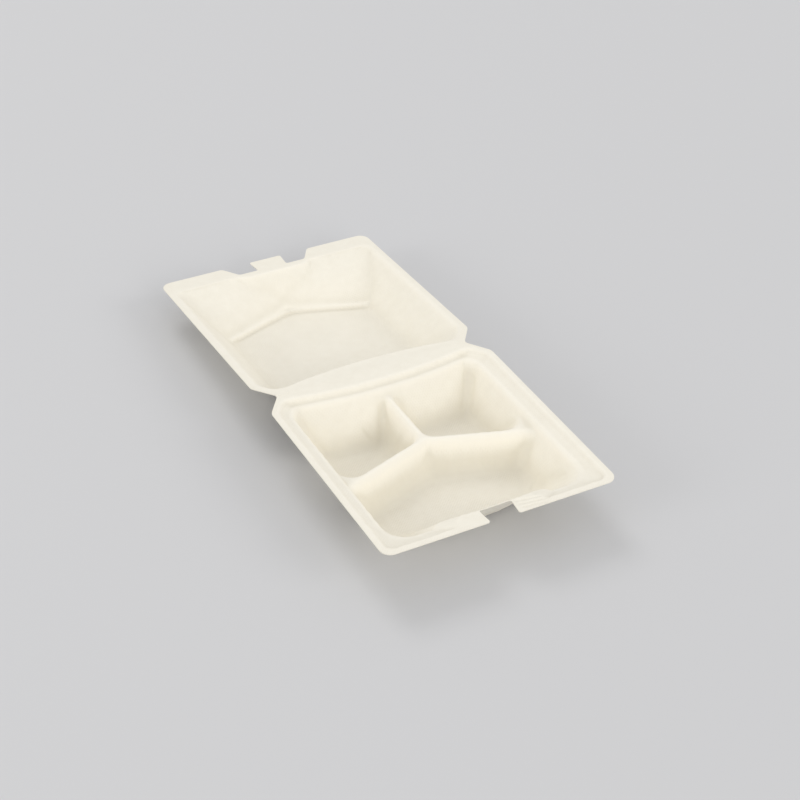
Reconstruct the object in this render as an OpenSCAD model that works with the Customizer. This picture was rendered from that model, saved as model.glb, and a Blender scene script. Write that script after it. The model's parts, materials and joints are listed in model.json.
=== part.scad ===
// Hinged food container pressed from plant-fibre pulp, shown open.
// The crease runs along X at y = 0, the tray lies towards -Y and the lid towards +Y.

/* [Overall] */
// Width of tray and lid over their rims
rim_width = 228; // [200:1:250]
// Depth of each half, from the crease to its front edge
half_depth = 235; // [215:1:260]
// Height of the tray's rim above the table
tray_height = 47.5; // [40:0.5:56]
// Depth of the lid, from its rim to the outside of its top panel
lid_depth = 36; // [26:0.5:44]
// Thickness of the pressed sheet
sheet = 1; // [0.7:0.1:1.4]

/* [Rim] */
// Radius of the two front corners of each half
front_corner_r = 10; // [6:1:16]
// Length of the chamfer beside the crease, along the side
chamfer_side = 22; // [16:1:28]
// Length of the chamfer beside the crease, along the crease
chamfer_back = 16; // [10:1:22]
// Radius where the chamfer meets the side
chamfer_r = 10; // [4:1:14]
// Width of the flat band at the tray's edge
tray_band = 6.5; // [4:0.5:9]
// Height of the small step at the band's inner edge
step_drop = 1.8; // [1.2:0.1:3]
// Width of the sloped ledge between the step and the middle of its bend into the wall
ledge_width = 10.5; // [6:0.5:14]
// Fall of the ledge across its width
ledge_fall = 3.4; // [1:0.2:5]
// Width of the crease flange at its ends, on both halves
crease_flange = 10; // [7:0.5:14]
// How far the crease flange widens towards its middle
crease_bow = 8; // [3:0.5:12]

/* [Tray walls] */
// Slope of the side walls from the table
side_slope = 65; // [58:1:76]
// Slope of the front wall from the table
front_slope = 51; // [48:1:64]
// Slope of the wall at the crease from the table
back_slope = 57; // [52:1:70]
// Radius of the bend from the ledge into the walls
ledge_r = 6; // [2:0.5:8]
// Radius of the tray's two front corners inside
front_inner_r = 22; // [12:1:28]
// Radius of the compartments' upright corners
pocket_r = 10; // [6:0.5:13]
// Radius of the rear compartments' corners between side arm and side wall
nook_r = 15; // [10:0.5:18]
// Radius of the rounding from the walls into the floor
foot_r = 14; // [6:0.5:15]

/* [Dividers] */
// Depth of the dividers' crest below the rim
crest_drop = 12.5; // [9:0.5:18]
// Distance from the crease to the point where the three dividers meet
divider_reach = 98; // [88:1:108]
// Angle by which the two side arms lean towards the front
arm_angle = 18; // [10:1:22]
// Radius of the rounded crest
crest_r = 2.5; // [1.5:0.1:3.5]
// Width of the flat along the crest
crest_flat = 2; // [1.4:0.1:4]
// Slope of the dividers' sides from the table
divider_slope = 72; // [66:1:78]

/* [Lock] */
// Width of the dent behind the lock, at the rim
dent_width = 86; // [70:1:100]
// Distance from the front edge to the dent's top edge in the tray
tray_dent = 20; // [18:0.5:24]
// Distance from the front edge to the dent's top edge in the lid
lid_dent = 27; // [23:0.5:32]
// Length of the slopes that rise from the tray's ledge to the dent's top at both ends
dent_shoulder = 16; // [6:1:22]
// Slope of the dent's face from the table
dent_slope = 48; // [44:1:60]
// Depth of the notch in the tray's front rim
notch_depth = 17; // [12:0.5:18]
// Width of the notch at its inner end
notch_root = 32; // [24:1:40]
// Width of the notch at the front edge
notch_mouth = 28; // [20:1:36]
// Depth of the recess in the lid's front rim, and length of the tab
recess_depth = 18; // [13:0.5:20]
// Width of the recess at its inner end
recess_root = 72; // [56:1:84]
// Width of the recess at the front edge
recess_mouth = 95; // [80:1:110]
// Radius of the recess's corners
recess_r = 5; // [2:0.5:6]
// Width of the tab where it leaves the recess
tab_root = 31; // [22:1:38]
// Width of the tab at its end
tab_end = 34; // [24:1:42]

/* [Lid] */
// Width of the band along the lid's sides, up to the middle of its bend into the wall
lid_band = 8; // [5:0.5:11]
// Radius of the bend from the lid's rim into its side and crease walls
lid_bend_r = 6; // [2:0.5:8]
// Radius of the lid's two corners beside the crease
lid_corner_r = 18; // [8:1:22]
// Width of the flat band along the lid's front
lid_front_band = 21; // [20:0.5:24]
// Slope of the lid's side walls from its rim
lid_slope = 48; // [42:1:58]
// Distance from the crease to the tip of the chevron
chevron_reach = 174; // [160:1:180]
// Angle by which the chevron's arms lean back to the crease
chevron_angle = 23; // [14:1:26]
// Height of the chevron's step in the top panel
chevron_step = 3; // [1.5:0.1:4]
// Run of the chevron's step
chevron_run = 2; // [1:0.1:4]

/* [Hinge] */
// Gap between the two halves along the crease
crease_gap = 0.3; // [0.2:0.05:0.6]
// Gap left between the two rims when the lid is shut
shut_gap = 0.4; // [0.2:0.05:0.8]

/* [Hidden] */
pulp = "#f2ecdc";
// Steps of a rounded corner, a chevron arm, a slope, a bend, a foot and a divider's crest
arc_steps = 6;
arm_steps = 7;
slope_steps = 5;
bend_steps = 4;
foot_steps = 4;
crest_steps = 3;
// Power that draws the points of a chevron arm together towards the tip
arm_crowding = 1.5;
// Facets of the small cut corners and of the wide bow
soft_fn = 24;
bow_fn = 240;
// Rounding of the sheet's bends, of the cut corners at the lock, of the dent and of the chevron's tip
bend_r = 1.2;
cut_r = 2;
dent_r = 16;
tip_r = 6;
// Run of the step at the rim, and slope of the bowed flange's edge in the lid
step_run = 0.8;
lid_bow_slope = 60;
// Share of the dent's run by which its sides spread
dent_flare = 1 / 3;
// Amount by which a cut passes a surface, and the least cut of a chamfer that gives way
over = 1;
least_cut = 0.05;
// Shift that keeps the levels of surfaces that cross each other apart
apart = 0.05;
// Outward growth that, with a drop of one sheet, keeps sloped walls about one sheet thick
skin = 0.65 * sheet;

half_width = rim_width / 2;
floor_z = sheet;
rim_fall = step_drop + ledge_fall;
ledge_z = tray_height - rim_fall;
crest_z = tray_height - crest_drop;
step_r = 0.8 * front_corner_r;
wall_in = tray_band + step_run + ledge_width;
back_ledge = step_run + ledge_width / 2;
back_in = crease_flange + back_ledge;
chamfer_angle = atan2(chamfer_back, chamfer_side);
chamfer_far = cos(chamfer_angle) * (half_width - chamfer_back);
arm_far = -divider_reach * cos(arm_angle);
panel_in = lid_depth - sheet;
step_top = panel_in - chevron_step;
slope_reach = chevron_reach + 2 * chevron_run;
bow_chord = half_width - chamfer_back - crease_flange;
bow_r = (bow_chord ^ 2 + crease_bow ^ 2) / (2 * crease_bow);
// The open lid leans until the tip of its chevron meets the table
hinge_z = tray_height + shut_gap / 2;
tip_reach = chevron_reach + skin / cos(chevron_angle);
tip_drop = lid_depth + shut_gap / 2;
lid_lean = asin(hinge_z / norm([tip_reach, tip_drop])) - atan2(tip_drop, tip_reach);

// Outlines are lists of edges, each the angle of its normal and its distance from the origin.

function way(angle) = [cos(angle), sin(angle)];

// Point where two edges cross
function meet(a, b) = [
    a[1] * sin(b[0]) - b[1] * sin(a[0]),
    b[1] * cos(a[0]) - a[1] * cos(b[0])
] / sin(b[0] - a[0]);

// Points round the corner between two edges
function corner(a, b, r) =
    let (
        centre = meet([a[0], a[1] - r], [b[0], b[1] - r]),
        turn = (b[0] - a[0] + 360) % 360
    )
    [for (k = [0:arc_steps]) centre + r * way(a[0] + turn * k / arc_steps)];

// Points of an outline with rounded corners, each radius belonging to the corner after its edge
function rounded(edges, radii) = [
    for (i = [0:len(edges) - 1])
        each corner(edges[i], edges[(i + 1) % len(edges)], is_list(radii) ? radii[i] : radii)
];

// Sideways run of a surface that bends over from level with radius r and then falls at a slope
function over_run(drop, r, slope) =
    let (turned = r * (1 - cos(slope)), d = max(drop, 0), bend = min(d, turned))
    sqrt(2 * r * bend - bend ^ 2) + max(d - turned, 0) / tan(slope);

// Extra run of a sloped wall where it rounds into a floor
function foot_run(rise, slope) =
    let (turned = foot_r * (1 - cos(slope)), h = min(max(rise, 0), turned))
    sqrt(2 * foot_r * turned - turned ^ 2) - sqrt(2 * foot_r * h - h ^ 2) - (turned - h) / tan(slope);

// Run of a bend and slope, measured from the point where the level and the slope would meet unbent
function bend_run(drop, r, slope) = over_run(drop, r, slope) - r * tan(slope / 2);

// Run of a tray wall at height z, from the edge of the unbent ledge
function wall_run(z, slope) = bend_run(ledge_z - z, ledge_r, slope) + foot_run(z - floor_z, slope);

// Run of a lid wall at a depth, from the edge of the unbent rim
function lid_run(depth) = bend_run(depth, lid_bend_r, lid_slope) + foot_run(panel_in - depth, lid_slope);

// Drops of the levels of a bend, close together where it is flattest
function bend_drops(r, slope) = [for (k = [0:bend_steps]) r * (1 - cos(slope)) * (k / bend_steps) ^ 2];

// Half the thickness of a divider at height z
function half_ridge(z) = crest_flat / 2 + over_run(crest_z - z, crest_r, divider_slope)
    + foot_run(z - floor_z, divider_slope);

// Distance of a chamfer drawn in from the sides and the crease. It gives way where the rounding of
// the corner already lies inside it.
function chamfer_cut(side, back, r) =
    min(chamfer_far - side, way(chamfer_angle) * [half_width - side - r, -back - r] + r - least_cut);

// Outline of a half drawn in from its sides, its front edge and the crease
function half_outline(side, front, back, r, front_r) =
    let (x = half_width - side, cut = chamfer_cut(side, back, r))
    rounded([
        [0, x],
        [chamfer_angle, cut],
        [90, -back],
        [180 - chamfer_angle, cut],
        [180, x],
        [270, half_depth - front]
    ], [r, r, r, r, front_r, front_r]);

// Outline of the lid's space at one depth; its front edge comes to a blunt tip at the given angle
function lid_outline(side, reach, back, angle) =
    let (
        x = half_width - side,
        cut = chamfer_cut(side, back, lid_corner_r),
        arm = (reach + tip_r * tan(angle)) * cos(angle),
        left = corner([180, x], [270 - angle, arm], step_r),
        right = corner([270 + angle, arm], [360, x], step_r)
    )
    concat(
        corner([0, x], [chamfer_angle, cut], lid_corner_r),
        corner([chamfer_angle, cut], [90, -back], lid_corner_r),
        corner([90, -back], [180 - chamfer_angle, cut], lid_corner_r),
        corner([180 - chamfer_angle, cut], [180, x], lid_corner_r),
        left,
        [
            for (k = [1 - arm_steps:arm_steps - 1])
                let (u = right[0].x * sign(k) * abs(k / arm_steps) ^ arm_crowding)
                [u, tan(angle) * (norm([u, tip_r]) - tip_r) - reach]
        ],
        right
    );

// Outer edge of both halves
function rim_outline() = rounded([
    [0, half_width],
    [chamfer_angle, chamfer_far],
    [90, -crease_gap / 2],
    [180 - chamfer_angle, chamfer_far],
    [180, half_width],
    [270, half_depth]
], [chamfer_r, bend_r, bend_r, chamfer_r, front_corner_r, front_corner_r]);

// A flat outline at one height
module ring(z, outline)
    polyhedron([for (p = outline) [p.x, p.y, z]], [[for (i = [0:len(outline) - 1]) i]]);

// A solid through a list of levels, each a height and an outline
module stack(levels)
    for (i = [0:len(levels) - 2])
        hull() {
            ring(levels[i][0], levels[i][1]);
            ring(levels[i + 1][0], levels[i + 1][1]);
        }

// A solid through a list of levels whose outlines have the same number of points
module loft(levels) {
    count = len(levels[0][1]);
    last = len(levels) - 1;
    polyhedron(
        [for (level = levels) for (p = level[1]) [p.x, p.y, level[0]]],
        concat(
            [[for (i = [count - 1:-1:0]) i]],
            [[for (i = [0:count - 1]) last * count + i]],
            [
                for (k = [0:last - 1])
                    for (i = [0:count - 1])
                        let (a = k * count + i, b = k * count + (i + 1) % count)
                        each [[a, b, b + count], [a, b + count, a + count]]
            ]
        )
    );
}

// Cut corners of a flat plan made round, outer and inner ones alike
module soften(r)
    offset(r = r, $fn = soft_fn)
        offset(r = -2 * r, $fn = soft_fn)
            offset(r = r, $fn = soft_fn) children();

// Strip across the front edge, from a width at its inner end to a width at the edge
module front_strip(depth, inner, outer, past)
    polygon([
        [-inner / 2, -half_depth + depth],
        [-outer / 2, -half_depth],
        [-outer / 2, -half_depth - past],
        [outer / 2, -half_depth - past],
        [outer / 2, -half_depth],
        [inner / 2, -half_depth + depth]
    ]);

// Bowed middle of the crease flange, a wide disc that eats into a cavity. Its edge is a list of
// heights, each with the run of the surface there.
module crease_bulge(edge, grow)
    translate([0, bow_r - crease_flange - crease_bow, 0])
        rotate_extrude($fn = bow_fn)
            polygon([
                [0, edge[0][0]],
                for (p = edge) [bow_r + p[1] - grow, p[0]],
                [0, edge[len(edge) - 1][0]]
            ]);

// Dent of a front wall behind the lock: its top edge lies edge_in from the front edge
function dent_outline(edge_in, shoulder, run, grow) =
    let (side = dent_width / 2 + shoulder + run * dent_flare - grow)
    rounded([
        [0, side],
        [90, edge_in - half_depth + run - grow],
        [180, side],
        [270, half_depth + dent_r]
    ], dent_r);

// Space inside the tray; grown by the skin and dropped by a sheet it is the tray's outside
module tray_space(grow) {
    step = function (side, back) half_outline(side - grow, side - grow, back - grow, step_r, step_r);
    wall = function (z) half_outline(
        wall_in + wall_run(z, side_slope) - grow,
        wall_in + wall_run(z, front_slope) - grow,
        back_in + wall_run(z, back_slope) - grow,
        pocket_r + grow,
        front_inner_r + grow
    );
    bend = bend_r / 2;
    bend_heights = [for (drop = bend_drops(ledge_r, side_slope)) ledge_z - drop];
    difference() {
        union() {
            stack(concat(
                [
                    [tray_height + over, step(tray_band - bend, crease_flange - bend)],
                    [tray_height, step(tray_band - bend, crease_flange - bend)],
                    [tray_height - bend, step(tray_band, crease_flange)],
                    [tray_height - step_drop, step(tray_band + step_run, crease_flange + step_run)]
                ],
                [for (z = bend_heights) [z, wall(z)]],
                [[crest_z, wall(crest_z)]]
            ));
            front_pocket(grow);
            back_pocket(grow);
            mirror([1, 0, 0]) back_pocket(grow);
        }
        crease_bulge(
            concat(
                [
                    [tray_height + 2 * over, -bend],
                    [tray_height - apart, -bend],
                    [tray_height - bend - apart, 0],
                    [tray_height - step_drop - apart, step_run]
                ],
                [
                    for (z = concat(bend_heights, foot_heights(back_slope), [0]))
                        [z - apart, back_ledge + wall_run(z, back_slope)]
                ]
            ),
            grow
        );
        tray_front_dent(grow);
    }
}

// Heights at which a wall of a given slope rounds into the floor
function foot_heights(slope) =
    let (turned = foot_r * (1 - cos(slope)))
    [for (k = [foot_steps:-1:0]) floor_z + turned * (k / foot_steps) ^ 2];

// Heights of the pockets' levels, close together at the crest and at the foot
function pocket_heights() =
    let (turned = crest_r * (1 - cos(divider_slope)))
    concat(
        [crest_z + over],
        [for (k = [0:crest_steps]) crest_z - turned * (k / crest_steps) ^ 2],
        foot_heights(divider_slope)
    );

module front_pocket(grow)
    stack([
        for (level = pocket_heights())
            let (
                z = min(level, crest_z),
                side = half_width - wall_in - wall_run(z, side_slope) + grow,
                arm = arm_far - half_ridge(z) + grow,
                front = half_depth - wall_in - wall_run(z, front_slope) + grow,
                r = pocket_r + grow,
                // Length of the side wall that the arm's corner leaves to the front corner
                room = meet([0, side], [90 - arm_angle, arm]).y + front - r * tan(45 - arm_angle / 2),
                front_r = min(front_inner_r + grow, room - least_cut)
            )
            [
                level,
                rounded(
                    [[0, side], [90 - arm_angle, arm], [90 + arm_angle, arm], [180, side], [270, front]],
                    [r, r, r, front_r, front_r]
                )
            ]
    ]);

module back_pocket(grow)
    stack([
        for (level = pocket_heights())
            let (
                z = min(level, crest_z),
                side = wall_in + wall_run(z, side_slope) - grow,
                back = back_in + wall_run(z, back_slope) - grow,
                stem = grow - half_ridge(z),
                arm = grow - arm_far - half_ridge(z),
                r = pocket_r + grow
            )
            [
                level,
                rounded(
                    [
                        [0, half_width - side],
                        [chamfer_angle, chamfer_cut(side, back, r)],
                        [90, -back],
                        [180, stem],
                        [270 - arm_angle, arm]
                    ],
                    [r, r, r, r, nook_r + grow]
                )
            ]
    ]);

module tray_front_dent(grow)
    stack([
        for (z = concat(
            [for (drop = [-over, 0, bend_r / 4, bend_r, rim_fall + apart]) tray_height - drop],
            foot_heights(dent_slope),
            [0]
        ))
            let (
                drop = max(tray_height - z, 0),
                run = over_run(drop, bend_r, dent_slope) + foot_run(z - floor_z, dent_slope),
                shoulder = dent_shoulder * min(drop / rim_fall, 1)
            )
            [z, dent_outline(tray_dent - bend_r, shoulder, run, grow)]
    ]);

// Space inside the lid, measured down from its rim
module lid_space(grow) {
    front_reach = function (depth) half_depth - lid_front_band - over_run(depth, bend_r, lid_slope);
    rim_reach = front_reach(bend_r);
    level = function (depth, reach, angle) [
        -depth,
        lid_outline(
            lid_band + lid_run(depth) - grow,
            reach + grow / cos(angle),
            crease_flange + lid_run(depth) - grow,
            angle
        )
    ];
    difference() {
        union() {
            loft(concat(
                [
                    for (depth = [-over, 0, bend_r / 4, bend_r])
                        level(depth, front_reach(depth), 0)
                ],
                [
                    for (k = [1:slope_steps])
                        let (share = k / slope_steps)
                        level(
                            bend_r + (step_top - bend_r) * share,
                            rim_reach + (slope_reach - rim_reach) * share,
                            atan(tan(chevron_angle) * share)
                        )
                ]
            ));
            loft([
                for (k = [slope_steps:-1:0])
                    let (share = k / slope_steps, rise = chevron_step * share ^ 2)
                    level(panel_in - rise, chevron_reach + chevron_run * share, chevron_angle)
            ]);
        }
        crease_bulge(
            [
                for (depth = concat([-2 * over], bend_drops(lid_bend_r, lid_bow_slope), [panel_in + over]))
                    [-depth, bend_run(depth, lid_bend_r, lid_bow_slope)]
            ],
            grow
        );
        lid_front_dent(grow);
    }
}

module lid_front_dent(grow)
    stack([
        for (depth = [-over, 0, bend_r / 4, bend_r, lid_depth])
            [-depth, dent_outline(lid_dent - bend_r, 0, over_run(depth, bend_r, dent_slope), grow)]
    ]);

module base_tray()
    color(pulp) difference() {
        union() {
            translate([0, 0, tray_height - sheet])
                linear_extrude(sheet)
                    soften(cut_r) difference() {
                        polygon(rim_outline());
                        front_strip(notch_depth, notch_root, notch_mouth, over);
                    }
            translate([0, 0, -sheet]) tray_space(skin);
        }
        tray_space(0);
    }

// Plan of the recess in the lid's front rim, with the space before the rim
module lid_recess()
    soften(recess_r) {
        front_strip(recess_depth, recess_root, recess_mouth, over);
        translate([-rim_width, -half_depth - recess_depth])
            square([2 * rim_width, recess_depth]);
    }

// The lid's pressing with its rim at z = 0, front towards -Y
module lid_pressing()
    difference() {
        union() {
            translate([0, 0, -sheet])
                linear_extrude(sheet)
                    soften(cut_r) {
                        difference() {
                            polygon(rim_outline());
                            lid_recess();
                        }
                        front_strip(recess_depth + over, tab_root, tab_end, 0);
                    }
            translate([0, 0, -sheet]) lid_space(skin);
        }
        lid_space(0);
    }

module lid()
    color(pulp)
        translate([0, 0, hinge_z])
            rotate([-lid_lean, 0, 0])
                translate([0, 0, -shut_gap / 2])
                    rotate([0, 0, 180]) lid_pressing();

base_tray();
lid();
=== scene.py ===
import json
import math

import bpy
import numpy as np
from mathutils import Matrix, Vector, noise
from mathutils.bvhtree import BVHTree
from mathutils.geometry import delaunay_2d_cdt


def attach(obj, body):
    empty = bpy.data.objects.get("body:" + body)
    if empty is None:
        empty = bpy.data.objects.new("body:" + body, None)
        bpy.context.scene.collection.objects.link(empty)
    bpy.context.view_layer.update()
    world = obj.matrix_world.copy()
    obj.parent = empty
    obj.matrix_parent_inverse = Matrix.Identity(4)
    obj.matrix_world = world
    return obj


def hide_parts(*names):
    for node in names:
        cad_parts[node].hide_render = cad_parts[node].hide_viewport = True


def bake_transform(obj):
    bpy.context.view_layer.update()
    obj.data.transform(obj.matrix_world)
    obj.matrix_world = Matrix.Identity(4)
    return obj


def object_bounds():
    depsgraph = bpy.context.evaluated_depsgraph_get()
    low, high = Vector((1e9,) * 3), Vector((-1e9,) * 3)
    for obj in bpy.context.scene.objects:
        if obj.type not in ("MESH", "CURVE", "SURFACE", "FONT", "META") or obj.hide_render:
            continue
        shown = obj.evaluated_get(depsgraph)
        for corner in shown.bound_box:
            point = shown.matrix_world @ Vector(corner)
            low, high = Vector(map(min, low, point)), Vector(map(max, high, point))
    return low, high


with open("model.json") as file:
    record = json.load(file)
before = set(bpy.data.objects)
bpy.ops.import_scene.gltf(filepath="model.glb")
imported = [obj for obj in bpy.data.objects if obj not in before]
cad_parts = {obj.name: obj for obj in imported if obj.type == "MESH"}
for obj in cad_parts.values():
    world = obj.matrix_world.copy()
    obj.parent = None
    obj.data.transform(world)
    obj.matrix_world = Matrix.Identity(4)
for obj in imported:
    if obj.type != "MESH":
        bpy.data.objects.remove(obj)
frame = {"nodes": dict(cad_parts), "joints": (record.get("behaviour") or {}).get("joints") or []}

cad_box = [list(corner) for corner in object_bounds()]

MM = 0.001

# Hinge between the halves, and how far the open lid leans past level
joint = frame["joints"][0]
HINGE = Vector(joint["pos_m"])
LEAN = math.radians(joint["range_deg"][1] - 180)

# Thickness of the sheet, and the least that is left where its two sides come close
SHEET = 1.0 * MM
THINNEST = 0.7 * SHEET
# Size of the meshes' cells, and how far the even ones stay from the cut edge
CELL = 1.1 * MM
EDGE_ROOM = 0.55 * CELL
# How close to the cut edge the distance from it is worked out
NEARBY = 4 * CELL
# Step of the raster on which heights are read off the solids, and how far it reaches past them
RASTER = 0.6 * MM
MARGIN = 2 * CELL
# A shorter length counts as none, and an upright face's normal points up by a smaller share than this
TINY = 0.02 * MM
UPRIGHT = 0.01
# Joining the cells to the cut edge, in millimetres: points closer than this are one, and a triangle with
# less than this for twice its area is a stray sliver
SNAP = 1e-5
SLIVER = 0.001

# Rounding of each half's bends by the pulp, fine and broad
TRAY_BENDS = 0.7 * MM, 2.4 * MM
LID_BENDS = 0.55 * MM, 2.6 * MM
# How much and over what width the press sharpens the bends again
CRISP = 0.4
CRISP_WIDTH = 2.2 * MM
# How far the bends wander from their lines, over what length, and the seeds of the two directions
WANDER = 0.45 * MM, 7 * MM, (21.0, 27.0)
# The same for the finer roughness of the rim's lines, and the depths below the rim between which it grows
ROUGH = 0.5 * MM, 3.2 * MM, (33.0, 39.0)
ROUGH_DEPTHS = 5 * MM, 3 * MM
# Height of the pulp's slow waves, in millimetres, and for each half their length, their seed, the levels
# between which they grow and the height that they gain
WAVE_HEIGHT = 0.12
TRAY_WAVES = 38 * MM, 3.0, (40 * MM, 20 * MM), 0.25
LID_WAVES = 42 * MM, 9.0, (44 * MM, 30 * MM), 0.3
# Widths over which hollows are told from ridges, the depth that counts as fully hollow, and the weight, for
# the painted shade put in hollows and the painted highlight put on ridges
HOLLOWS = (
    (4.5 * MM, 2.2 * MM, 1.0),
    (1.6 * MM, 0.4 * MM, 0.4),
)

# Forms of the tray, in millimetres. Four places say where a form rises, is full, falls off and ends, and
# two say where it grows from nothing to its full size. A painted shading value says how much painted shade,
# or if below 0 how much painted highlight, a form is given in its colour.
# Press ripples on the rim beside the notch
RIPPLE_X = 17, 20, 41, 47
RIPPLE_Y = -234.5, -231, -220, -217
RIPPLE_PITCH = 4.4
RIPPLE_LEAN = 0.12
RIPPLE_DEPTH = 0.45
# Painted shading of the ripples: painted shade in their troughs and a painted highlight on their crests
RIPPLE_PAINTED_SHADING = 0.4
# Creases where the dent's sides run out on the floor, one on each side, and a wrinkle by the middle divider
DENT_CREASE = (72, -167.5), (81, -163)
WRINKLE = (-31, -41), (-26, -47)
CREASE_WIDTH = 1.2
CREASE_DEPTH = 0.4
# Painted shade along the creases and the wrinkle
CREASE_PAINTED_SHADE = 0.9
# Flare of the middle divider's faces at the crease wall
FLARE = 7
FLARE_X = 2.5, 15, 19, 50
FLARE_Y = -48, -23, -20, -14
# Bulge of the dented wall behind the notch, at its top and at its foot
BULGE_TOP = 2
BULGE_FOOT = 5.5
BULGE_GROWTH = -214, -184
BULGE_X = 58, 20
BULGE_Y = -221, -217, -172, -140
# Broad rounding: levels of the deep parts and of the dividers' crests, which take a share of it, and the
# dent's place, which takes none
TRAY_DEEP = 24, 14
CREST = 30, 33, 36.5, 38.5
CREST_SHARE = 0.7
DENT_X = 80, 70
DENT_Y = -182, -192

# Forms of the lid, in the same way
# Tip of the chevron's foot on the solid, and the angle of its arms
CHEVRON_REACH = 174
CHEVRON_ANGLE = math.radians(23)
# How far the chevron lies in front of the solid's: at its tip, for each millimetre to the side, and where
SHIFT_TIP = 3
SHIFT_SIDE = 0.06
SHIFT_AHEAD = -30, -8, 8, 34
SHIFT_X = 92, 80
# Lines along the chevron: place in front of its foot, width, height and painted shading (above 0 painted
# shade, below 0 a painted highlight) of a bead, of the fine line at its foot and of the faint hollow in
# front of it
CHEVRON_LINES = (
    (6.0, 2.0, 0.55, -1.4),
    (0.8, 1.2, -0.2, 0.35),
    (11.5, 3.5, -0.2, 0.3),
)
CHEVRON_ARMS = 82, 74
# Pressed line between the front band and the slope
BAND_LINE_X = 46, 52, 98, 104
BAND_LINE_Y = 213.2
BAND_LINE_WIDTH = 0.9
BAND_LINE_DEPTH = 0.45
# Painted shade along the pressed line
BAND_LINE_PAINTED_SHADE = 1.1
# Broad rounding: level of the deep parts, the middle of the chevron's step in front of its foot, and how far
# from there the rounding grows
LID_DEEP = 45, 41
STEP_MIDDLE = 1
STEP_CLEAR = 3.5, 9

# Folded strip: half its width, the rows and columns of its mesh, and how far it widens towards the halves
FOLD = 1.5 * MM
FOLD_ROWS = 13
FOLD_COLUMNS = 160
FOLD_WIDENING = 0.5 * MM
# Its groove, and what it gains in depth towards the ends, between two shares of the length
GROOVE_WIDTH = 0.35 * MM
GROOVE_DEPTH = 0.1 * MM
GROOVE_GAIN = 0.3 * MM
GROOVE_ENDS = 0.78, 0.97

# Colours of the pulp: its mottling with the levels that they stand for, flecks, painted shade and painted
# highlight
MOTTLE_COLOURS = (
    (0.3, (0.878, 0.835, 0.729, 1)),
    (0.7, (0.906, 0.866, 0.764, 1)),
)
FLECK = 0.68, 0.60, 0.46, 1
PAINTED_SHADE = 0.74, 0.69, 0.57, 1
PAINTED_HIGHLIGHT = 0.955, 0.91, 0.805, 1
PULP_SPECULAR = 0.35
# Patterns of the pulp: the size of their spots, how much detail they have and how rough it is
MOTTLING = 9 * MM, 5, 0.6
FLECKS = 1.1 * MM, 2, 0.5
FELTING = 3 * MM, 4, 0.5
GRAIN = 0.8 * MM, 4, 0.6
LUMPS = 5 * MM, 3, 0.5
PATCHES = 45 * MM, 2, 0.5
# How strongly a tint shows and how rough the pulp is: two values of a pattern, and what each of them gives
FLECK_TINT = 0.7, 0.78, 0, 0.22
PAINTED_SHADE_TINT = 0, 1, 0, 0.48
PAINTED_HIGHLIGHT_TINT = 0, -2, 0, 1
THREAD_SHADE_TINT = 0, -6, 0, 0.5
ROUGHNESS = 0, 1, 0.62, 0.86
# Distance between the threads of the forming mesh, and in the same way how strongly its imprint shows in
# patches, at a height above the floor and on a bend
MESH_PITCH = 2.0 * MM
MESH_IN_PATCHES = 0.4, 0.6, 0.25, 1
MESH_AT_HEIGHT = 14 * MM, 4 * MM, 1, 3
MESH_ON_BENDS = 0.9, 0.35, 0, 1
# Shares of the mesh, the felted grain and the broader lumps in the fine relief, its height and strength
MESH_SHARE = 0.35
GRAIN_SHARE = 1.6
LUMP_SHARE = 3.0
RELIEF_HEIGHT = 0.06 * MM
RELIEF_STRENGTH = 0.5

# Floor: half its side in metres, and its finish
FLOOR_REACH = 4
FLOOR_COLOUR = 0.62, 0.62, 0.63, 1
FLOOR_ROUGHNESS = 0.6
# Soft lamps far off: compass angle from the front and height angle, in degrees, and strength, then the
# angle that each of them fills, which softens its shadows
LAMPS = {
    "front": (0, 21.5, 0.54),
    "right": (45, 30, 0.51),
    "left": (-90, 20, 0.56),
    "back": (180, 45, 0.545),
}
LAMP_SPREAD = 25
# Strength of the even glow all round
GLOW = 0.672
# Camera at the photograph's place: compass angle, height angle and roll in degrees, the point that it looks
# at and its distance from there
CAMERA_AZIMUTH = -30.234
CAMERA_ELEVATION = 36.647
CAMERA_ROLL = 2.723
CAMERA_TARGET = Vector((-0.00108, -0.053719, 0.04746))
CAMERA_DISTANCE = 1.64439
# Focal length and width of the picture in pixels, and width of the sensor in millimetres
FOCAL_PIXELS = 1824.86
PICTURE_PIXELS = 800
SENSOR = 36


def about_hinge(points, angle):
    """Points turned about the hinge line, which lies along X. Each point may have an angle of its own."""
    y, z = points[:, 1] - HINGE.y, points[:, 2] - HINGE.z
    c, s = np.cos(angle), np.sin(angle)
    return np.stack([points[:, 0], HINGE.y + y * c - z * s, HINGE.z + y * s + z * c], 1)


def ramp(low, high, x):
    """Smooth step from 0 at low to 1 at high."""
    t = np.clip((x - low) / (high - low), 0, 1)
    return t * t * (3 - 2 * t)


def span(start, full, fall, end, x):
    """Smooth step up from start to full, and down again from fall to end."""
    return ramp(start, full, x) * ramp(end, fall, x)


def bell(offset, width):
    """Bell curve of height 1."""
    return np.exp(-(offset / width) ** 2)


def blurred(field, sigma):
    """Field smoothed by a bell curve whose width is given in metres."""
    reach = int(math.ceil(3 * sigma / RASTER))
    offsets = np.arange(-reach, reach + 1)
    weights = np.exp(-0.5 * (offsets * RASTER / sigma) ** 2)
    weights /= weights.sum()
    for axis in (0, 1):
        pad = [(reach, reach) if a == axis else (0, 0) for a in (0, 1)]
        padded = np.pad(field, pad, mode="edge")
        size = field.shape[axis]
        field = sum(w * np.take(padded, np.arange(k, k + size), axis) for k, w in enumerate(weights))
    return field


def softened(field, fine, broad, share):
    """Heights with bends as round as pulp makes them, then sharpened a little by the press. Share says where
    the broad rounding applies."""
    field = blurred(field, fine) * (1 - share) + blurred(field, broad) * share
    return field + CRISP * (field - blurred(field, CRISP_WIDTH))


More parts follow.
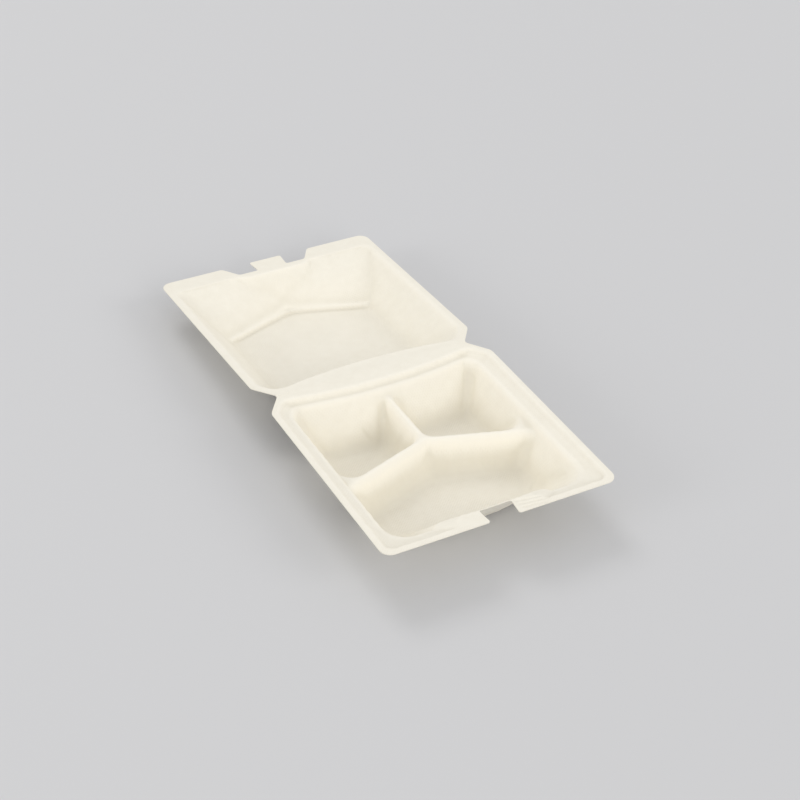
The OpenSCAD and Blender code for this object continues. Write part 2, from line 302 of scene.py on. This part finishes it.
class Relief:
    """Upper and lower heights of a pressed half, read off its solid in a frame where the rim is level."""

    def __init__(self, node, turn):
        mesh = frame["nodes"][node].data
        mesh.calc_loop_triangles()
        co = np.empty(len(mesh.vertices) * 3)
        mesh.vertices.foreach_get("co", co)
        tri = np.empty(len(mesh.loop_triangles) * 3, int)
        mesh.loop_triangles.foreach_get("vertices", tri)
        self.turn = turn
        self.co = about_hinge(co.reshape(-1, 3), turn)
        self.tri = tri.reshape(-1, 3)
        self.rim = self.co[:, 2].max()
        self.low = self.co.min(0) - MARGIN
        self.high = self.co.max(0) + MARGIN
        self.shape = [int(math.ceil((self.high[a] - self.low[a]) / RASTER)) + 1 for a in (0, 1)]
        self.xs = self.low[0] + RASTER * np.arange(self.shape[0])
        self.ys = self.low[1] + RASTER * np.arange(self.shape[1])
        tree = BVHTree.FromPolygons(self.co.tolist(), self.tri.tolist())
        self.top = self.cast(tree, self.high[2] + SHEET, -1, self.rim)
        self.bottom = self.cast(tree, self.low[2] - SHEET, 1, self.rim - SHEET)

    def cast(self, tree, start, way, default):
        """Heights first met from the start, upwards or downwards, and the default where there is nothing."""
        field = np.full(self.shape, default)
        heading = Vector((0, 0, way))
        for i, x in enumerate(self.xs):
            for j, y in enumerate(self.ys):
                hit = tree.ray_cast(Vector((x, y, start)), heading)[0]
                if hit is not None:
                    field[i, j] = hit.z
        return field

    def places(self):
        """X and Y of the raster's points, in millimetres."""
        return np.meshgrid(self.xs / MM, self.ys / MM, indexing="ij")

    def soften(self, bends, share):
        """Round the bends of both sides."""
        self.top = softened(self.top, *bends, share)
        self.bottom = softened(self.bottom, *bends, share)

    def at(self, field, points):
        """Field at each point, evened out between the raster's own points."""
        u = np.clip((points[:, 0] - self.low[0]) / RASTER, 0, self.shape[0] - 1)
        v = np.clip((points[:, 1] - self.low[1]) / RASTER, 0, self.shape[1] - 1)
        i = np.minimum(u.astype(int), self.shape[0] - 2)
        j = np.minimum(v.astype(int), self.shape[1] - 2)
        a, b = u - i, v - j
        return (field[i, j] * (1 - a) * (1 - b) + field[i + 1, j] * a * (1 - b)
                + field[i, j + 1] * (1 - a) * b + field[i + 1, j + 1] * a * b)

    def hollows(self, points):
        """How hollow the upper and then the lower side are at each point: below 0 on a ridge, above 0 in a
        corner. The pulp's colour takes painted shade from it in corners and a painted highlight on ridges."""
        total = np.zeros(2 * len(points))
        for width, depth, weight in HOLLOWS:
            upper = self.at(blurred(self.top, width) - self.top, points)
            lower = self.at(self.bottom - blurred(self.bottom, width), points)
            total += weight * np.clip(np.concatenate([upper, lower]) / depth, -1, 1)
        return total

    def outline(self):
        """The cut edge of the rim as an anticlockwise loop of points, from the upright faces of the solid's
        plate."""
        corners = self.co[self.tri]
        normal = np.cross(corners[:, 1] - corners[:, 0], corners[:, 2] - corners[:, 0])
        upright = np.abs(normal[:, 2]) < UPRIGHT * np.linalg.norm(normal, axis=1)
        after = {}
        for triangle in corners[upright]:
            high = np.abs(triangle[:, 2] - self.rim) < TINY
            if high.sum() == 2:
                k = int(np.argmin(high))
                a, b = [tuple(np.round(triangle[(k + step) % 3, :2] / MM, 3)) for step in (1, 2)]
                after[b] = a
        first = max(after)
        loop = [first]
        while after[loop[-1]] != first:
            loop.append(after[loop[-1]])
        loop = np.array(loop) * MM
        x, y = loop.T
        if np.sum(x * np.roll(y, -1) - y * np.roll(x, -1)) < 0:
            loop = loop[::-1]
        return loop


def divided(loop, longest):
    """The loop with no edge longer than the given length."""
    out = []
    for a, b in zip(loop, np.roll(loop, -1, 0)):
        length = np.linalg.norm(b - a)
        if length < TINY:
            continue
        n = max(1, int(math.ceil(length / longest)))
        out += [a + (b - a) * k / n for k in range(n)]
    return np.array(out)


def inside(points, loop):
    """Which points lie inside the loop."""
    result = np.zeros(len(points), bool)
    x, y = points.T
    for (x0, y0), (x1, y1) in zip(loop, np.roll(loop, -1, 0)):
        if y0 != y1:
            cross = (y0 > y) != (y1 > y)
            result ^= cross & (x < x0 + (y - y0) * (x1 - x0) / (y1 - y0))
    return result


def distance(points, loop):
    """Distance of each point from the loop, or infinity where it isn't nearby."""
    best = np.full(len(points), np.inf)
    for a, b in zip(loop, np.roll(loop, -1, 0)):
        d = b - a
        near = np.abs(points - (a + b) / 2).max(1) < np.abs(d).max() / 2 + NEARBY
        if near.any():
            q = points[near]
            t = np.clip(((q - a) @ d) / (d @ d), 0, 1)
            best[near] = np.minimum(best[near], np.linalg.norm(q - a - t[:, None] * d, axis=1))
    return best


def around(ids):
    """Pairs of neighbours along a closed loop."""
    return list(zip(ids, ids[1:] + ids[:1]))


def open_sides(faces):
    """Sides that only one of the faces has."""
    sides = {}
    for face in faces:
        for a, b in around(face):
            if (b, a) in sides:
                del sides[(b, a)]
            else:
                sides[(a, b)] = True
    return list(sides)


def plan_mesh(loop):
    """Points, faces and rim of a flat sheet inside the loop: even cells, joined to the cut edge by
    triangles."""
    loop = divided(loop, CELL)
    low = np.floor(loop.min(0) / CELL).astype(int)
    high = np.ceil(loop.max(0) / CELL).astype(int)
    nx, ny = high - low + 1
    grid = np.stack(np.meshgrid(np.arange(nx), np.arange(ny), indexing="ij"), -1).reshape(-1, 2)
    points = (grid + low) * CELL
    free = inside(points, loop) & (distance(points, loop) > EDGE_ROOM)
    free = free.reshape(nx, ny)
    cells = free[:-1, :-1] & free[1:, :-1] & free[:-1, 1:] & free[1:, 1:]
    used = np.zeros((nx, ny), bool)
    for di in (0, 1):
        for dj in (0, 1):
            used[di:nx - 1 + di, dj:ny - 1 + dj] |= cells
    index = np.full((nx, ny), -1)
    index[used] = np.arange(used.sum())
    faces = [(index[i, j], index[i + 1, j], index[i + 1, j + 1], index[i, j + 1])
             for i, j in zip(*np.nonzero(cells))]
    # The gap between the cells and the cut edge is filled with triangles
    sides = open_sides(faces)
    inner = sorted({v for side in sides for v in side})
    co = np.concatenate([points.reshape(nx, ny, 2)[used], loop])
    rim = list(range(len(co) - len(loop), len(co)))
    ids = inner + rim
    local = {v: k for k, v in enumerate(ids)}
    wires = [(local[a], local[b]) for a, b in sides + around(rim)]
    found = delaunay_2d_cdt([Vector(co[v] / MM) for v in ids], wires, [], 0, SNAP)
    corners, triangles, origin = found[0], found[2], found[3]
    a, b, c = np.array([[corners[v] for v in t] for t in triangles]).transpose(1, 0, 2)
    middles = (a + b + c) / 3 * MM
    cell = np.clip(np.floor(middles / CELL).astype(int) - low, 0, [nx - 2, ny - 2])
    keep = inside(middles, loop) & ~cells[cell[:, 0], cell[:, 1]]
    # Points in line along a straight edge leave slivers without area outside it
    ab, ac = b - a, c - a
    keep &= np.abs(ab[:, 0] * ac[:, 1] - ab[:, 1] * ac[:, 0]) > SLIVER
    faces += [tuple(ids[origin[v][0]] for v in t) for t, kept in zip(triangles, keep) if kept]
    return co, faces, rim


def closed_sheet(name, upper, lower, faces, rim):
    """Mesh object of a sheet with an upper and a lower side, joined round its rim with sharp cut edges."""
    n = len(upper)
    all_faces = [tuple(int(v) for v in f) for f in faces]
    all_faces += [tuple(int(v) + n for v in reversed(f)) for f in faces]
    all_faces += [(b, a, a + n, b + n) for a, b in around(rim)]
    co = np.concatenate([upper, lower])
    co[:, 2] = np.clip(co[:, 2], cad_box[0][2], cad_box[1][2])
    mesh = bpy.data.meshes.new(name)
    mesh.from_pydata(co.tolist(), [], all_faces)
    mesh.polygons.foreach_set("use_smooth", np.ones(len(mesh.polygons), bool))
    pairs = np.empty(len(mesh.edges) * 2, int)
    mesh.edges.foreach_get("vertices", pairs)
    cut = {(a + side, b + side) for a, b in around(rim) for side in (0, n)}
    cut |= {(b, a) for a, b in cut}
    sharp = mesh.attributes.new("sharp_edge", "BOOLEAN", "EDGE")
    sharp.data.foreach_set("value", [(a, b) in cut for a, b in pairs.reshape(-1, 2).tolist()])
    mesh.validate()
    piece = bpy.data.objects.new(name, mesh)
    bpy.context.scene.collection.objects.link(piece)
    return piece


def waviness(points, scale, seed):
    """Slow unevenness from -1 to 1, the same on every run."""
    return np.array([noise.noise(Vector((x / scale, y / scale, seed))) for x, y in points[:, :2]])


def wandering(co, reach, scale, seeds):
    """How far each point wanders sideways, in metres."""
    return reach * np.stack([waviness(co, scale, seed) for seed in seeds], 1)


def slow_waves(co, top, scale, seed, levels, gain):
    """Slow waves of the pulp, in millimetres, higher in the deep parts."""
    return waviness(co, scale, seed) * (WAVE_HEIGHT + gain * ramp(*levels, top))


def pressed_half(name, relief, unevenness, spread):
    """The refined sheet of one half: its plan, the heights of both sides, what its unevenness adds to them,
    and how far its shapes spread sideways."""
    # The cut edge along the crease stops at the folded strip
    loop = relief.outline()
    side = 1 if loop[:, 1].mean() > 0 else -1
    loop[:, 1] = side * np.maximum(side * loop[:, 1], FOLD)
    co, faces, rim = plan_mesh(loop)
    # Bends wander a little, as felted fibres leave no line quite straight, most of all at the rim
    low, high = [relief.rim - depth for depth in ROUGH_DEPTHS]
    near_rim = ramp(low, high, relief.at(relief.top, co))
    where = co + wandering(co, *WANDER) + wandering(co, *ROUGH) * near_rim[:, None] - spread(co)
    top, bottom = relief.at(relief.top, where), relief.at(relief.bottom, where)
    height, painted_shading = unevenness(co, top)
    top = np.minimum(top + height, relief.rim)
    bottom = np.minimum(np.maximum(bottom + height, relief.bottom.min()), top - THINNEST)
    upper = about_hinge(np.column_stack([co, top]), -relief.turn)
    lower = about_hinge(np.column_stack([co, bottom]), -relief.turn)
    piece = closed_sheet(name, upper, lower, faces, rim)
    # The hollow attribute masks painted shade in corners and a painted highlight on ridges, plus each form's
    # painted shading on the upper side
    hollow = piece.data.attributes.new("hollow", "FLOAT", "POINT")
    hollow.data.foreach_set("value", relief.hollows(where) + np.concatenate([painted_shading, np.zeros(len(co))]))
    return piece


def creased(x, y, start, end):
    """How near each point is to a crease between two points, from 0 to 1."""
    start, run = np.array(start), np.subtract(end, start)
    off = np.column_stack([x, y]) - start
    along = np.clip(off @ run / (run @ run), 0, 1)
    return bell(np.linalg.norm(off - along[:, None] * run, axis=1), CREASE_WIDTH)


def tray_unevenness(co, top):
    """Heights that the tray gains, in metres, and the painted shading that goes with them: slow waves of the
    pulp, shallow press ripples beside the notch, the dent's creases and the wrinkle."""
    x, y = co.T / MM
    patch = span(*RIPPLE_X, x) * span(*RIPPLE_Y, y)
    ripple = np.sin(2 * math.pi * (y + RIPPLE_LEAN * x) / RIPPLE_PITCH) * patch
    crease = creased(np.abs(x), y, *DENT_CREASE) + creased(x, y, *WRINKLE)
    height = slow_waves(co, top, *TRAY_WAVES) - RIPPLE_DEPTH * (patch + ripple) - CREASE_DEPTH * crease
    return height * MM, RIPPLE_PAINTED_SHADING * ripple + CREASE_PAINTED_SHADE * crease


def tray_spread(co):
    """How far the middle divider's faces stand out to either side where it runs into the crease wall, and
    how far the dented wall behind the notch stands out to the front."""
    x, y = np.abs(co[:, 0]) / MM, co[:, 1] / MM
    flare = FLARE * span(*FLARE_X, x) * span(*FLARE_Y, y)
    bulge = BULGE_TOP + (BULGE_FOOT - BULGE_TOP) * ramp(*BULGE_GROWTH, y)
    bulge *= ramp(*BULGE_X, x) * span(*BULGE_Y, y)
    return np.column_stack([np.sign(co[:, 0]) * flare, -bulge]) * MM


def tray_rounding(relief):
    """Where the tray's bends are broadly round, from 0 to 1."""
    x, y = relief.places()
    level = relief.top / MM
    dent = ramp(*DENT_X, np.abs(x)) * ramp(*DENT_Y, y)
    return np.maximum(ramp(*TRAY_DEEP, level) * (1 - dent), CREST_SHARE * span(*CREST, level))


def from_chevron(x, y):
    """Distance, in millimetres, in front of the foot of the chevron's step on the solid."""
    return (y - CHEVRON_REACH + math.tan(CHEVRON_ANGLE) * np.abs(x)) * math.cos(CHEVRON_ANGLE)


def chevron_shift(x, y):
    """How far, in millimetres, the chevron lies in front of the solid's."""
    shift = SHIFT_TIP + SHIFT_SIDE * np.abs(x)
    return shift * span(*SHIFT_AHEAD, from_chevron(x, y)) * ramp(*SHIFT_X, np.abs(x))


def lid_unevenness(co, top):
    """Heights that the lid gains, in metres, and the painted shading that goes with them: slow waves of the
    pulp, the pressed line behind the front band and the lines along the chevron."""
    x, y = np.abs(co[:, 0]) / MM, co[:, 1] / MM
    line = bell(y - BAND_LINE_Y, BAND_LINE_WIDTH) * span(*BAND_LINE_X, x)
    height = slow_waves(co, top, *LID_WAVES) - BAND_LINE_DEPTH * line
    painted_shading = BAND_LINE_PAINTED_SHADE * line
    ahead = from_chevron(x, y - chevron_shift(x, y))
    for place, width, rise, line_painted_shading in CHEVRON_LINES:
        line = bell(ahead - place, width) * ramp(*CHEVRON_ARMS, x)
        height += rise * line
        painted_shading += line_painted_shading * line
    return height * MM, painted_shading


def lid_spread(co):
    """How far the chevron's shapes lie to the front of the solid's."""
    x, y = co.T / MM
    return np.column_stack([np.zeros(len(co)), chevron_shift(x, y)]) * MM


def lid_rounding(relief):
    """Where the lid's bends are broadly round, from 0 to 1."""
    apart = np.abs(from_chevron(*relief.places()) - STEP_MIDDLE)
    return ramp(*LID_DEEP, relief.top / MM) * ramp(*STEP_CLEAR, apart)


def crease_end(relief):
    """How far to the side the rim reaches at the crease."""
    loop = relief.outline()
    return loop[np.abs(loop[:, 1]) < FOLD, 0].max()


def fold_strip(name):
    """The folded web between the halves: a thin strip with a shallow pressed groove, bent by the lid's
    lean."""
    rows, columns = FOLD_ROWS, FOLD_COLUMNS
    y = np.linspace(-FOLD, FOLD, rows)
    reach = min(crease_end(tray_relief), crease_end(lid_relief)) + FOLD_WIDENING * np.abs(y) / FOLD
    across = np.linspace(-1, 1, columns)
    co = np.array([[share * r, yi] for yi, r in zip(y, reach) for share in across])
    outer = ramp(*GROOVE_ENDS, np.abs(co[:, 0]) / max(reach))
    groove = (GROOVE_DEPTH + GROOVE_GAIN * outer) * bell(co[:, 1], GROOVE_WIDTH)
    rim_z = tray_relief.rim
    angle = -LEAN * ramp(-FOLD, FOLD, co[:, 1])
    upper = about_hinge(np.column_stack([co, rim_z - groove]), angle)
    lower = about_hinge(np.column_stack([co, np.full(len(co), rim_z - SHEET)]), angle)
    faces = [(r * columns + k, r * columns + k + 1, (r + 1) * columns + k + 1, (r + 1) * columns + k)
             for r in range(rows - 1) for k in range(columns - 1)]
    rim = list(range(columns)) + [r * columns + columns - 1 for r in range(1, rows)]
    rim += [(rows - 1) * columns + k for k in range(columns - 2, -1, -1)]
    rim += [r * columns for r in range(rows - 2, 0, -1)]
    return closed_sheet(name, upper, lower, faces, rim)


def pulp_material(name):
    """Ivory plant-fibre pulp: faint mottling and flecks, a fine grain and the imprint of a wire mesh."""
    material = bpy.data.materials.new(name)
    material.use_nodes = True
    nodes, links = material.node_tree.nodes, material.node_tree.links
    shader = nodes["Principled BSDF"]
    shader.inputs["Specular IOR Level"].default_value = PULP_SPECULAR
    place = nodes.new("ShaderNodeTexCoord").outputs["Object"]
    attribute = nodes.new("ShaderNodeAttribute")
    attribute.attribute_name = "hollow"
    hollow = attribute.outputs["Fac"]

    def math_node(kind, a, b=None):
        node = nodes.new("ShaderNodeMath")
        node.operation = kind
        for socket, value in zip(node.inputs, (a, b)):
            if value is None:
                continue
            if isinstance(value, (int, float)):
                socket.default_value = value
            else:
                links.new(value, socket)
        return node.outputs[0]

    def noise_node(size, detail, rough):
        node = nodes.new("ShaderNodeTexNoise")
        node.inputs["Scale"].default_value = 1 / size
        node.inputs["Detail"].default_value = detail
        node.inputs["Roughness"].default_value = rough
        links.new(place, node.inputs["Vector"])
        return node.outputs["Fac"]

    def mapped(value, low, high, to_low, to_high):
        node = nodes.new("ShaderNodeMapRange")
        node.inputs["From Min"].default_value = low
        node.inputs["From Max"].default_value = high
        node.inputs["To Min"].default_value = to_low
        node.inputs["To Max"].default_value = to_high
        links.new(value, node.inputs["Value"])
        return node.outputs["Result"]

    def tinted(base, share, tint):
        node = nodes.new("ShaderNodeMixRGB")
        node.inputs["Color2"].default_value = tint
        links.new(share, node.inputs["Fac"])
        links.new(base, node.inputs["Color1"])
        return node.outputs["Color"]

    # Diagonal imprint of the forming mesh, stronger in some patches. It shows most on the floors, which lie
    # flat on the mesh, and fades out on the bends, which the mesh doesn't follow.
    split = nodes.new("ShaderNodeSeparateXYZ")
    links.new(place, split.inputs[0])
    x, y, z = split.outputs
    turns = 2 * math.pi / MESH_PITCH / math.sqrt(2)
    along = math_node("MULTIPLY", math_node("ADD", x, y), turns)
    across = math_node("MULTIPLY", math_node("SUBTRACT", x, y), turns)
    weave = math_node("ADD", math_node("SINE", along), math_node("SINE", across))
    patches = mapped(noise_node(*PATCHES), *MESH_IN_PATCHES)
    floors = mapped(z, *MESH_AT_HEIGHT)
    flats = mapped(math_node("ABSOLUTE", hollow), *MESH_ON_BENDS)
    for share in (patches, floors, flats):
        weave = math_node("MULTIPLY", weave, share)

    # Broad mottling of the felted fibres, with sparse darker flecks
    mottle = nodes.new("ShaderNodeValToRGB")
    for element, (level, tone) in zip(mottle.color_ramp.elements, MOTTLE_COLOURS):
        element.position = level
        element.color = tone
    links.new(noise_node(*MOTTLING), mottle.inputs["Fac"])
    colour = tinted(mottle.outputs["Color"], mapped(noise_node(*FLECKS), *FLECK_TINT), FLECK)
    # Painted shade darkens hollow corners and creases a little, and a painted highlight makes ridges a
    # little paler
    colour = tinted(colour, mapped(hollow, *PAINTED_SHADE_TINT), PAINTED_SHADE)
    colour = tinted(colour, mapped(hollow, *PAINTED_HIGHLIGHT_TINT), PAINTED_HIGHLIGHT)
    # Painted shade darkens the hollows of the mesh's imprint a little
    colour = tinted(colour, mapped(weave, *THREAD_SHADE_TINT), PAINTED_SHADE)
    links.new(colour, shader.inputs["Base Color"])

    # Roughness varies a little with the felting
    links.new(mapped(noise_node(*FELTING), *ROUGHNESS), shader.inputs["Roughness"])

    # Fine relief: the imprint of the mesh, felted grain and broader lumps
    grain = math_node("MULTIPLY", noise_node(*GRAIN), GRAIN_SHARE)
    lumps = math_node("MULTIPLY", noise_node(*LUMPS), LUMP_SHARE)
    threads = math_node("MULTIPLY", weave, MESH_SHARE)
    bump = nodes.new("ShaderNodeBump")
    bump.inputs["Strength"].default_value = RELIEF_STRENGTH
    bump.inputs["Distance"].default_value = RELIEF_HEIGHT
    links.new(math_node("ADD", math_node("ADD", threads, grain), lumps), bump.inputs["Height"])
    links.new(bump.outputs["Normal"], shader.inputs["Normal"])
    return material


def make_floor():
    """Plain pale floor."""
    mesh = bpy.data.meshes.new("floor")
    r = FLOOR_REACH
    mesh.from_pydata([(-r, -r, 0), (r, -r, 0), (r, r, 0), (-r, r, 0)], [], [(0, 1, 2, 3)])
    material = bpy.data.materials.new("plain_floor")
    material.use_nodes = True
    shader = material.node_tree.nodes["Principled BSDF"]
    shader.inputs["Base Color"].default_value = FLOOR_COLOUR
    shader.inputs["Roughness"].default_value = FLOOR_ROUGHNESS
    mesh.materials.append(material)
    obj = bpy.data.objects.new("floor", mesh)
    bpy.context.scene.collection.objects.link(obj)
    return obj


def direction(azimuth, elevation):
    """Unit vector towards a compass angle from the front and a height angle, in degrees."""
    a, e = math.radians(azimuth), math.radians(elevation)
    return Vector((math.sin(a) * math.cos(e), -math.cos(a) * math.cos(e), math.sin(e)))


def soft_lamp(name, azimuth, elevation, strength):
    """Lamp far off, with soft shadows."""
    lamp = bpy.data.lights.new(name, "SUN")
    lamp.angle = math.radians(LAMP_SPREAD)
    lamp.energy = strength
    obj = bpy.data.objects.new(name, lamp)
    away = direction(azimuth, elevation)
    obj.rotation_euler = (-away).to_track_quat("-Z", "Y").to_euler()
    obj.location = away
    bpy.context.scene.collection.objects.link(obj)


def even_glow():
    """Even white light from all round."""
    world = bpy.data.worlds.new("studio")
    world.use_nodes = True
    background = world.node_tree.nodes["Background"]
    background.inputs["Color"].default_value = (1, 1, 1, 1)
    background.inputs["Strength"].default_value = GLOW
    bpy.context.scene.world = world


def make_camera():
    """Camera at the photograph's place, rolled about its line of sight."""
    back = direction(CAMERA_AZIMUTH, CAMERA_ELEVATION)
    level = Vector((0, 0, 1)).cross(back).normalized()
    upright = back.cross(level)
    roll = math.radians(CAMERA_ROLL)
    c, s = math.cos(roll), math.sin(roll)
    axes = Matrix((c * level + s * upright, c * upright - s * level, back)).transposed()
    data = bpy.data.cameras.new("camera")
    data.sensor_width = SENSOR
    data.lens = SENSOR * FOCAL_PIXELS / PICTURE_PIXELS
    obj = bpy.data.objects.new("camera", data)
    obj.matrix_world = Matrix.Translation(CAMERA_TARGET + back * CAMERA_DISTANCE) @ axes.to_4x4()
    bpy.context.scene.collection.objects.link(obj)
    return obj


# The two pressed halves and the strip over the fold
tray_relief = Relief("base_tray", 0.0)
tray_relief.soften(TRAY_BENDS, tray_rounding(tray_relief))
lid_relief = Relief("lid", LEAN)
lid_relief.soften(LID_BENDS, lid_rounding(lid_relief))
tray = pressed_half("tray_sheet", tray_relief, tray_unevenness, tray_spread)
lid = pressed_half("lid_sheet", lid_relief, lid_unevenness, lid_spread)
fold = fold_strip("fold_strip")

pulp = pulp_material("moulded_pulp")
for piece in (tray, lid, fold):
    piece.data.materials.append(pulp)

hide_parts("base_tray")
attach(tray, "tray")
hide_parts("lid")
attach(lid, "lid")
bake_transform(fold)

# Floor, light and camera
floor = make_floor()
for name, aim in LAMPS.items():
    soft_lamp(name, *aim)
even_glow()
bpy.context.scene.camera = make_camera()
bpy.context.scene.view_settings.view_transform = "Standard"
